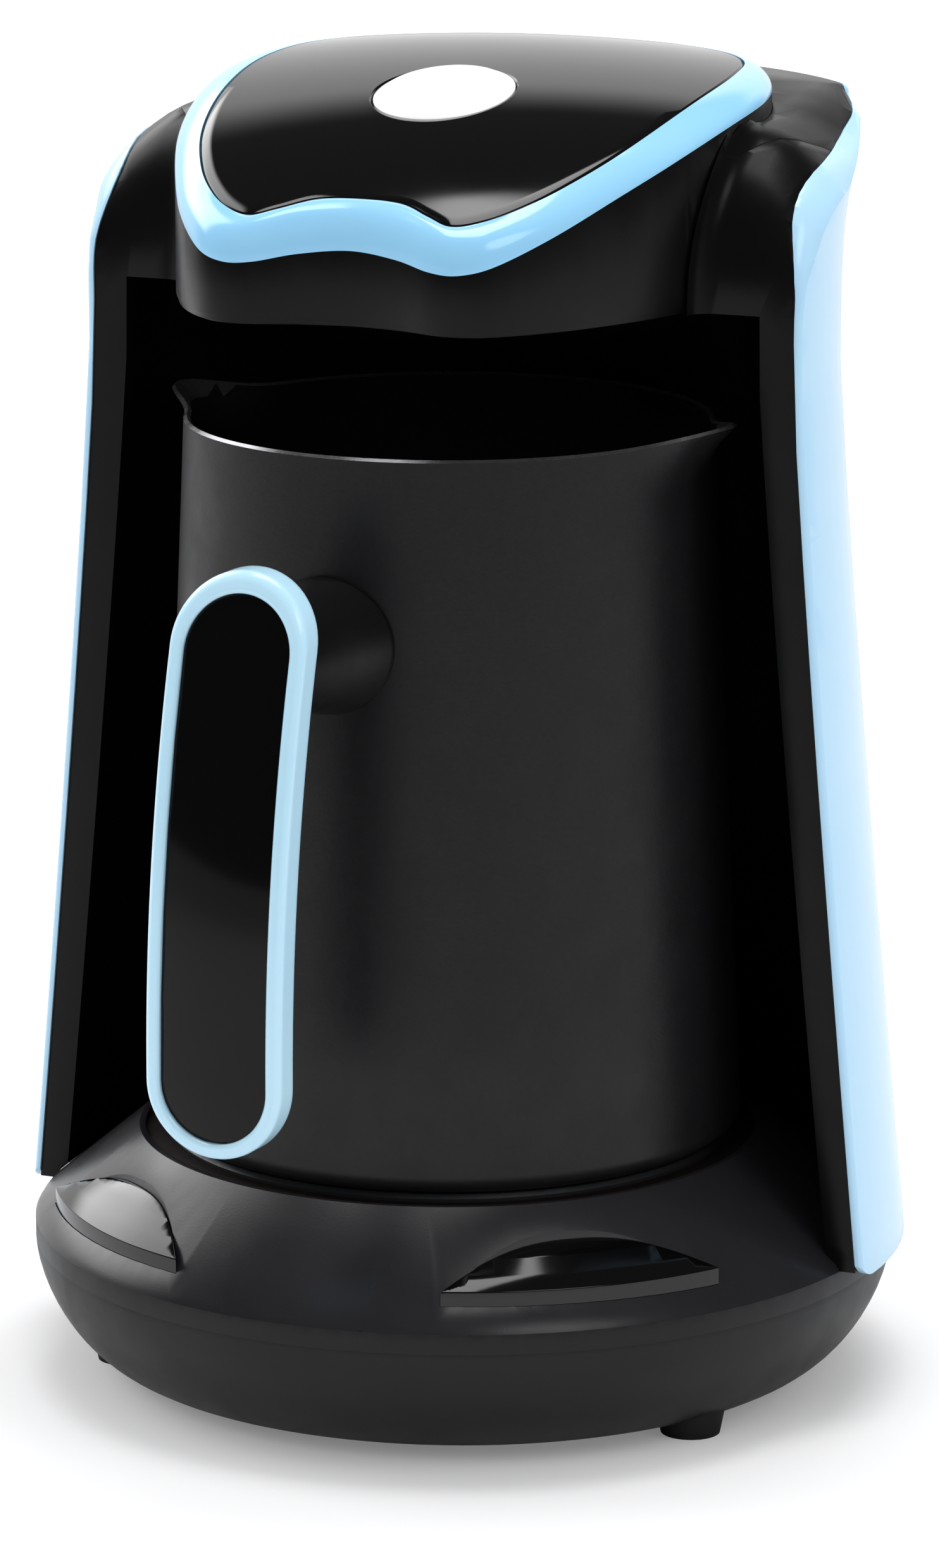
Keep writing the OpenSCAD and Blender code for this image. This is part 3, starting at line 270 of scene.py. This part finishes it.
# material of each CAD node that keeps its own shape
KEPT = {
    "foot_front_left": "rubber", "foot_front_right": "rubber",
    "foot_rear_left": "rubber", "foot_rear_right": "rubber",
    "heating_plate": "plate_metal", "plate_seal": "seal", "heating_element": "element_steel",
    "element_bracket": "zinc_steel", "bracket_screws": "zinc_steel", "thermostat": "phenolic",
    "thermal_fuse": "fuse_case", "power_board": "board_green", "power_board_screws": "zinc_steel",
    "relay": "relay_blue", "transformer": "winding", "terminal_block": "terminal_green",
    "cord_gland": "rubber", "cord_clamp": "black_part", "clamp_screws": "zinc_steel",
    "base_screws": "zinc_steel", "body_screws": "zinc_steel", "wire_bundle": "wire_red",
    "tact_switch": "black_part", "switch_plunger": "pale_part", "control_board": "board_green",
    "control_board_screws": "zinc_steel", "indicator_led": "pale_part", "buzzer": "black_part",
    "foam_sensor": "board_green", "sensor_lens": "sensor_window", "handle_screw": "zinc_steel",
}

# material, edge rounding in mm and smoothing angle in degrees of each node that gets a finer skin
DRESSED = {
    "base_bowl": ("bowl_black", 0.5, 25), "base_deck": ("deck_black", 0.5, 25),
    "window_left": ("window_black", 0.35, 30), "window_right": ("window_black", 0.35, 30),
    "front_housing": ("satin_black", 0.35, 28), "shoulder_cap": ("satin_black", 0.3, 28),
    # the trim ring wears a darker copy of the shell's blue as painted shade
    "outer_shell": ("shell_blue", 0.5, 30), "trim_ring": ("trim_blue_painted_shade", 0.0, 50),
    "top_plate": ("gloss_black", 0.0, 40), "start_button": ("button_white", 0.4, 30),
    "pot_body": ("pot_coat", 0.0, 50), "handle_neck": ("handle_black", 0.3, 30),
    # the handle ring wears a paler copy of the shell's blue as painted light
    "handle_ring": ("handle_blue_painted_light", 0.0, 60), "handle_inset": ("inset_black", 0.4, 30),
}


# ---------- Finer shapes, worked out from the part's own sizes in mm ----------

# no visible piece stands over the CAD's own box
TOP_LIMIT = cad_box[1][2] / MM
# gap round a fixed piece, and round the button
FIT, SLIP = 0.3, 0.3

# the plate's crowned top: height and y of its crest, and its fall to the front and to the sides
PLATE_Z, PLATE_Y, PLATE_BOW, PLATE_SIDE_BOW = 262, 32, 0.0032, 0.0012
PLATE_T, PLATE_ROUND = 2, 0.35
PLATE_ROWS = 16

# the ring's lower edge, and right halves of its outer and inner lines seen from above
RING_EDGE_Z, RING_EDGE_Y, RING_EDGE_BOW = 255.3, 35.3, 0.0029
RING_OUT = [(0, -55.3), (10, -57), (18, -59.8), (24.2, -60.2), (30.6, -57), (38.4, -47.8), (45, -36),
            (51, -22), (55, -7), (57, 9), (55.7, 21), (51.5, 32), (44, 42), (32, 50), (17, 55), (0, 56.5)]
RING_IN = [(0, -49.8), (8.5, -50.4), (15, -53.2), (20.3, -55.2), (25.2, -53.6), (31, -49), (37.2, -40.8),
           (43, -28.5), (47, -13), (49.2, 5), (49, 19), (46.2, 32), (39, 42), (28, 48.5), (15, 52.5), (0, 54)]
RING_STEPS, RING_ARC_STEPS = 8, 14
# its underside starts so far inside the outer line, and so far up
RING_BASE_IN, RING_BASE_UP = 3, 0.1
# the shelf of the ring under the plate
SHELF_IN, SHELF_DROP, SHELF_T = 2.5, 0.6, 0.8

BUTTON_Y, BUTTON_R, BUTTON_TILT = -9.7, 13.8, math.radians(14.9428)

# bosses for the control board's screws, in the button's frame
BOSS_X, BOSS_Y, BOSS_LOW, BOSS_R = 22, 20, -12, 2.4
BOSS_BORE_R, BOSS_BORE_DEPTH = 0.9, 7
BOSS_SIDES = 32

POT_Y, POT_TURN, POT_RIM_Z = -7, math.radians(3.2), 192.4
DECK_RIM_R = 85.2

HANDLE_W, HANDLE_T, HANDLE_BAND, HANDLE_CAP = 28.2, 6.4, 3, 1.1
HANDLE_TOP, HANDLE_LOW, HANDLE_REACH, HANDLE_BOW = 176.9, 67.9, 87, 11
# heights at which the handle's bow starts and is full
BOW_TOP, BOW_LOW = HANDLE_TOP - 13.8, HANDLE_LOW + 14.4
# section of the handle's ring: share of its width from the outside in, share of its half depth
BAND_SECTION = [(0.25, -1), (0, -0.8), (0, 0.5), (0.12, 0.82), (0.4, 1), (0.75, 1), (0.96, 0.86), (1, 0.6),
                (1, -0.8), (0.75, -1)]
BAND_STEPS = 4


def mix(a, b, t):
    return a + (b - a) * t


def spline(points, steps):
    """A closed smooth line through the points."""
    line = []
    for i in range(len(points)):
        a, b, c, d = (Vector(points[(i + k) % len(points)]) for k in (-1, 0, 1, 2))
        for s in range(steps):
            t = s / steps
            line.append(0.5 * (2 * b + (c - a) * t + (2 * a - 5 * b + 4 * c - d) * t * t
                               + (3 * b - a - 3 * c + d) * t * t * t))
    return line


def ring_line(half):
    return spline(half + [(-x, y) for x, y in half[-2:0:-1]], RING_STEPS)


def inwards(line, d):
    """A closed line that runs counter-clockwise, moved inwards."""
    moved = []
    for i, point in enumerate(line):
        along = (line[(i + 1) % len(line)] - line[i - 1]).normalized()
        moved.append(point + d * Vector((-along.y, along.x)))
    return moved


def plate_top(x, y):
    return PLATE_Z - PLATE_BOW * (y - PLATE_Y) ** 2 - PLATE_SIDE_BOW * x * x


def ring_edge(y):
    return RING_EDGE_Z - RING_EDGE_BOW * (y - RING_EDGE_Y) ** 2


def tube(sections):
    """Corners and faces of a tube that closes on itself, through sections with the same count."""
    n, m = len(sections), len(sections[0])
    faces = [(i * m + j, (i + 1) % n * m + j, (i + 1) % n * m + (j + 1) % m, i * m + (j + 1) % m)
             for i in range(n) for j in range(m)]
    return [point for section in sections for point in section], faces


def make_mesh(node, shapes):
    """One mesh for a node out of closed shapes, whose faces are turned outwards."""
    same_corner = 1e-7
    bm = bmesh.new()
    for points, faces in shapes:
        verts = [bm.verts.new((x * MM, y * MM + AXIS_Y, min(z, TOP_LIMIT) * MM)) for x, y, z in points]
        for face in faces:
            bm.faces.new([verts[i] for i in face])
    bmesh.ops.remove_doubles(bm, verts=bm.verts, dist=same_corner)
    bmesh.ops.recalc_face_normals(bm, faces=bm.faces)
    mesh = bpy.data.meshes.new(node + "_skin")
    bm.to_mesh(mesh)
    bm.free()
    return mesh


def trim_ring_mesh(node):
    ring_in, ring_out = ring_line(RING_IN), ring_line(RING_OUT)
    base, shelf = inwards(ring_out, RING_BASE_IN), inwards(ring_in, SHELF_IN)
    sections = []
    for a, b, c, d in zip(ring_in, ring_out, base, shelf):
        high, low = plate_top(*a), ring_edge(b.y)
        shelf_top = high - PLATE_T - SHELF_DROP
        section = []
        for k in range(RING_ARC_STEPS + 1):
            s = math.radians(90 * k / RING_ARC_STEPS)
            p = mix(a, b, math.sin(s))
            section.append((p.x, p.y, mix(high, low, 1 - math.cos(s))))
        sections.append(section + [
            (c.x, c.y, ring_edge(c.y) + RING_BASE_UP), (d.x, d.y, shelf_top - SHELF_T),
            (d.x, d.y, shelf_top), (a.x, a.y, shelf_top)])
    return make_mesh(node, [tube(sections)])


def button_point(x, y, z):
    """A point of the button's tilted frame."""
    c, s = math.cos(BUTTON_TILT), math.sin(BUTTON_TILT)
    return Vector((x, BUTTON_Y + y * c - z * s, plate_top(0, BUTTON_Y) + y * s + z * c))


def boss(x, y):
    """A boss under the plate, as a tube round its own axis."""
    near_axis = 0.01
    high = -PLATE_T / 2 - PLATE_BOW * BOSS_Y ** 2 - PLATE_SIDE_BOW * BOSS_X ** 2
    bore_end = BOSS_LOW + BOSS_BORE_DEPTH
    profile = [(BOSS_R, BOSS_LOW), (BOSS_R, high), (near_axis, high), (near_axis, bore_end),
               (BOSS_BORE_R, bore_end), (BOSS_BORE_R, BOSS_LOW)]
    turns = [math.tau * k / BOSS_SIDES for k in range(BOSS_SIDES)]
    return tube([[button_point(x + r * math.cos(t), y + r * math.sin(t), z) for r, z in profile]
                 for t in turns])


def top_plate_mesh(node):
    outer = inwards(ring_line(RING_IN), FIT)
    soft = inwards(ring_line(RING_IN), FIT + PLATE_ROUND)
    hole, hole_soft = [], []
    for p in outer:
        angle = math.atan2(p.y - BUTTON_Y, p.x)
        for radius, line in ((BUTTON_R + SLIP, hole), (BUTTON_R + SLIP + PLATE_ROUND, hole_soft)):
            q = button_point(radius * math.cos(angle), radius * math.sin(angle), 0)
            line.append(Vector((q.x, q.y)))
    # the plate's section: down its outer edge, inwards below, up in the hole, outwards above
    levels = [(soft, 0.0), (outer, -PLATE_ROUND), (outer, -PLATE_T), (hole, -PLATE_T),
              (hole, -PLATE_ROUND), (hole_soft, 0.0)]
    sections = []
    for i in range(len(outer)):
        section = [(line[i].x, line[i].y, plate_top(*line[i]) + z) for line, z in levels]
        for k in range(1, PLATE_ROWS):
            q = mix(hole_soft[i], soft[i], k / PLATE_ROWS)
            section.append((q.x, q.y, plate_top(*q)))
        sections.append(section)
    bosses = [boss(x, y) for x in (-BOSS_X, BOSS_X) for y in (-BOSS_Y, BOSS_Y)]
    return make_mesh(node, [tube(sections)] + bosses)


def handle_d(z):
    """How far the handle's middle lies in front of the pot's axis at a height."""
    share = (BOW_TOP - z) / (BOW_TOP - BOW_LOW)
    return HANDLE_REACH + HANDLE_BOW * (1 - (1 - share) ** 2)


def bowed(x, z, d):
    """A point of the handle: across, up and out from its bowed middle surface."""
    y, c, s = -(handle_d(z) + d), math.cos(POT_TURN), math.sin(POT_TURN)
    return (x * c + y * s, POT_Y - x * s + y * c, z)


def stadium(width, low, high, arc=36, straight=20):
    """An upright outline with round ends: clockwise from its left side over the top."""
    r = width / 2
    turn = [math.pi * i / arc for i in range(arc + 1)]
    rise = [i / straight for i in range(1, straight)]
    return ([(-r * math.cos(a), high - r + r * math.sin(a)) for a in turn]
            + [(r, mix(high - r, low + r, t)) for t in rise]
            + [(r * math.cos(a), low + r - r * math.sin(a)) for a in turn]
            + [(-r, mix(low + r, high - r, t)) for t in rise])


def handle_ring_mesh(node):
    section = [(min(1, max(0, p.x)), min(1, max(-1, p.y))) for p in spline(BAND_SECTION, BAND_STEPS)]
    lines = []
    for share, depth in section:
        inset = HANDLE_BAND * share
        lines.append([bowed(x, z, depth * HANDLE_T / 2) for x, z in stadium(
            HANDLE_W - 2 * inset, HANDLE_LOW + inset, HANDLE_TOP - inset * (1 + HANDLE_CAP / HANDLE_BAND))])
    return make_mesh(node, [tube(lines)])


FINER = {"trim_ring": trim_ring_mesh, "top_plate": top_plate_mesh, "handle_ring": handle_ring_mesh}


# ---------- Skins that stand for the CAD nodes ----------

# a skin's edges are rounded where they turn by this much more than the smoothing angle, in degrees
EDGE_MARGIN = 8


def set_material(obj, material):
    obj.data.materials.clear()
    obj.data.materials.append(material)


def clean_copy(node):
    """A new mesh with the node's shape, its doubled corners joined and its slivers taken out."""
    same_corner = 2e-6
    bm = bmesh.new()
    bm.from_mesh(NODES[node].data)
    bmesh.ops.remove_doubles(bm, verts=bm.verts, dist=same_corner)
    bmesh.ops.dissolve_degenerate(bm, edges=bm.edges, dist=same_corner)
    mesh = bpy.data.meshes.new(node + "_skin")
    verts = [v.co.copy() for v in bm.verts]
    faces = [[v.index for v in f.verts] for f in bm.faces]
    bm.free()
    mesh.from_pydata(verts, [], faces)
    mesh.update()
    return mesh


def apply_modifiers(obj):
    graph = bpy.context.evaluated_depsgraph_get()
    mesh = bpy.data.meshes.new_from_object(obj.evaluated_get(graph))
    old = obj.data
    obj.modifiers.clear()
    obj.data = mesh
    bpy.data.meshes.remove(old)


def dress(node, material, rounding, angle):
    """Stands for a CAD node: its finer mesh, or its own shape with rounded edges, smoothly shaded."""
    mesh = FINER.get(node, clean_copy)(node)
    piece = bpy.data.objects.new(node + "_skin", mesh)
    bpy.context.scene.collection.objects.link(piece)
    if rounding > 0:
        bevel = piece.modifiers.new("edges", "BEVEL")
        bevel.width = rounding * MM
        bevel.segments = 2
        bevel.limit_method = "ANGLE"
        bevel.angle_limit = math.radians(angle + EDGE_MARGIN)
        bevel.use_clamp_overlap = True
        apply_modifiers(piece)
    piece.data.shade_smooth()
    piece.data.set_sharp_from_angle(angle=math.radians(angle))
    set_material(piece, material)
    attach(piece, NODES[node]["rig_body"])
    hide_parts(node)
    return piece


def on_pot_edge(centre, normal):
    """The coating ends at the pot's rolled edge."""
    return normal.z > 0.3 and centre.z > POT_RIM_Z * MM


def painted_shade_on_deck_rim(centre, normal):
    """Painted shade: the deck's upright rim gets the bowl's darker material."""
    return abs(normal.z) < 0.5 and math.hypot(centre.x, centre.y - AXIS_Y) > DECK_RIM_R * MM


# nodes with a second material, and the faces that have it; on the deck's rim the bowl's darker material is
# painted shade
SECOND = {"pot_body": ("pot_edge", on_pot_edge), "base_deck": ("bowl_black", painted_shade_on_deck_rim)}


def add_second_material(piece, material, chosen):
    piece.data.materials.append(material)
    for face in piece.data.polygons:
        if chosen(face.center, face.normal):
            face.material_index = 1


# ---------- Floor, world and lamps ----------

FLOOR_SIZE = 60
FLOOR_COLOUR = (0.82, 0.82, 0.83, 1)
# the floor's own glow to the camera, in between these distances from the origin in m
GLOW_NEAR, GLOW_FAR = 0.12, 0.40
GLOW_LOW, GLOW_HIGH = 0.18, 1.0
# and its glow in reflections, in between these distances behind the origin
MIRRORED_NEAR, MIRRORED_FAR, MIRRORED_GLOW = 0.3, 1.6, 0.3

# diffuse light of the room, from the front below to the rear above, and the direction it is strongest from
SKY_LIGHT = (0.30, 0.72)
SKY_DIRECTION, SKY_LOW, SKY_HIGH = (0, 0.5, 0.866), -0.6, 1.0

ROOM_DARK = 0.06                    # what gloss shows of the room in front
SIDE_BOX = (0.559, -0.427, 0.711)   # direction of the soft box in front on the right
# What else gloss shows: strength and edges of each light. An edge is a soft step along an axis of the
# view's direction, or towards the side box, from nothing at the first value to all at the second.
GLOSS_LIGHTS = [
    # a wall behind
    (1.0, [("Z", 0.66, 0.52), ("Y", 0.0, 0.35), ("X", 0.45, 0.1)]),
    # a bright window behind on the left
    (3.2, [("X", -0.50, -0.60), ("Y", -0.15, 0.05), ("Z", 0.28, 0.40), ("Z", 0.88, 0.80)]),
    # a soft box overhead
    (4.5, [("Z", 0.835, 0.85), ("X", 0.09, 0.07), ("X", -0.38, -0.34), ("Y", -0.22, -0.18),
           ("Y", 0.46, 0.40)]),
    # the soft box in front on the right
    (2.5, [("side box", 0.972, 0.985)]),
]

# name, place in m, point it faces, width, height, power in W
LAMPS = [
    ("lamp_left", (-1.30, 0.05, 0.70), (0, 0, 0.12), 0.8, 1.0, 6),
    ("lamp_right", (1.30, -0.10, 0.60), (0, 0, 0.14), 0.6, 1.1, 4),
    ("lamp_top", (0.00, 0.30, 1.45), (0, 0, 0.15), 1.0, 0.8, 13),
    ("lamp_front", (-0.30, -1.50, 1.00), (0, 0, 0.12), 1.2, 0.8, 6),
]


def math_node(tree, operation, a, b):
    node = tree.nodes.new("ShaderNodeMath")
    node.operation = operation
    for socket, value in ((node.inputs[0], a), (node.inputs[1], b)):
        if isinstance(value, (int, float)):
            socket.default_value = value
        else:
            tree.links.new(value, socket)
    return node.outputs[0]


def ramp(tree, value, low, high, start=0.0, end=1.0):
    """A soft step from start to end while value goes from low to high."""
    node = tree.nodes.new("ShaderNodeMapRange")
    node.interpolation_type = "SMOOTHSTEP"
    node.inputs["From Min"].default_value = low
    node.inputs["From Max"].default_value = high
    node.inputs["To Min"].default_value = start
    node.inputs["To Max"].default_value = end
    tree.links.new(value, node.inputs["Value"])
    return node.outputs["Result"]


def product(tree, *values):
    out = values[0]
    for value in values[1:]:
        out = math_node(tree, "MULTIPLY", out, value)
    return out


def dot_with(tree, vector, direction):
    node = tree.nodes.new("ShaderNodeVectorMath")
    node.operation = "DOT_PRODUCT"
    tree.links.new(vector, node.inputs[0])
    node.inputs[1].default_value = direction
    return node.outputs["Value"]


def seen_directly(tree, path):
    """1 for rays from the camera, also through clear pieces, and 0 for all others."""
    return math_node(tree, "MAXIMUM", path.outputs["Is Camera Ray"], path.outputs["Is Transmission Ray"])


def add_floor():
    bpy.ops.mesh.primitive_plane_add(size=FLOOR_SIZE, location=(0, 0, 0))
    floor = bpy.context.object
    floor.name = "floor"
    mat = bpy.data.materials.new("floor")
    mat.use_nodes = True
    tree = mat.node_tree
    tree.nodes.clear()
    out = tree.nodes.new("ShaderNodeOutputMaterial")
    diffuse = tree.nodes.new("ShaderNodeBsdfDiffuse")
    diffuse.inputs["Color"].default_value = FLOOR_COLOUR
    glow = tree.nodes.new("ShaderNodeEmission")
    add = tree.nodes.new("ShaderNodeAddShader")
    coords = tree.nodes.new("ShaderNodeTexCoord")
    split = tree.nodes.new("ShaderNodeSeparateXYZ")
    tree.links.new(coords.outputs["Object"], split.inputs[0])
    length = tree.nodes.new("ShaderNodeVectorMath")
    length.operation = "LENGTH"
    tree.links.new(coords.outputs["Object"], length.inputs[0])
    path = tree.nodes.new("ShaderNodeLightPath")
    # the background is white; near the object the floor keeps its shadow
    white = product(tree, seen_directly(tree, path),
                    ramp(tree, length.outputs["Value"], GLOW_NEAR, GLOW_FAR, GLOW_LOW, GLOW_HIGH))
    # in reflections it is brighter behind the object and plain floor in front of it
    mirrored = product(tree, path.outputs["Is Glossy Ray"],
                       ramp(tree, split.outputs["Y"], MIRRORED_NEAR, MIRRORED_FAR, 0.0, MIRRORED_GLOW))
    tree.links.new(math_node(tree, "ADD", white, mirrored), glow.inputs["Strength"])
    tree.links.new(diffuse.outputs[0], add.inputs[0])
    tree.links.new(glow.outputs[0], add.inputs[1])
    tree.links.new(add.outputs[0], out.inputs["Surface"])
    floor.data.materials.append(mat)


def add_world():
    world = bpy.data.worlds.new("studio")
    bpy.context.scene.world = world
    world.use_nodes = True
    tree = world.node_tree
    back = tree.nodes["Background"]
    back.inputs["Color"].default_value = (1, 1, 1, 1)
    path = tree.nodes.new("ShaderNodeLightPath")
    coords = tree.nodes.new("ShaderNodeTexCoord")
    direction = coords.outputs["Generated"]
    split = tree.nodes.new("ShaderNodeSeparateXYZ")
    tree.links.new(direction, split.inputs[0])
    along = {axis: split.outputs[axis] for axis in ("X", "Y", "Z")}
    along["side box"] = dot_with(tree, direction, SIDE_BOX)
    # diffuse light, stronger from above and behind
    soft = ramp(tree, dot_with(tree, direction, SKY_DIRECTION), SKY_LOW, SKY_HIGH, *SKY_LIGHT)
    # the picture of the room that gloss shows
    gloss = ROOM_DARK
    for strength, edges in GLOSS_LIGHTS:
        steps = [ramp(tree, along[axis], low, high) for axis, low, high in edges]
        gloss = math_node(tree, "ADD", product(tree, *steps, strength), gloss)
    # camera and transmission rays see white, gloss its own picture, the rest the soft light
    pick = tree.nodes.new("ShaderNodeMix")
    tree.links.new(path.outputs["Is Glossy Ray"], pick.inputs[MIX_FACTOR])
    tree.links.new(soft, pick.inputs[NUMBER_A])
    tree.links.new(gloss, pick.inputs[NUMBER_B])
    final = tree.nodes.new("ShaderNodeMix")
    final.inputs[NUMBER_B].default_value = 1.0
    tree.links.new(seen_directly(tree, path), final.inputs[MIX_FACTOR])
    tree.links.new(pick.outputs[NUMBER_OUT], final.inputs[NUMBER_A])
    tree.links.new(final.outputs[NUMBER_OUT], back.inputs["Strength"])


def add_lamps():
    for name, place, target, width, height, power in LAMPS:
        data = bpy.data.lights.new(name, "AREA")
        data.shape = "RECTANGLE"
        data.size = width
        data.size_y = height
        data.energy = power
        lamp = bpy.data.objects.new(name, data)
        lamp.location = place
        lamp.rotation_euler = (Vector(target) - Vector(place)).to_track_quat("-Z", "Y").to_euler()
        lamp.visible_camera = False
        lamp.visible_glossy = False
        bpy.context.scene.collection.objects.link(lamp)


def main():
    bpy.context.scene.view_settings.view_transform = "Standard"
    add_camera()
    looks = make_looks()
    for node, look in KEPT.items():
        set_material(NODES[node], looks[look])
    for node, (look, rounding, angle) in DRESSED.items():
        piece = dress(node, looks[look], rounding, angle)
        if node in SECOND:
            second, chosen = SECOND[node]
            add_second_material(piece, looks[second], chosen)
    add_floor()
    add_world()
    add_lamps()


main()
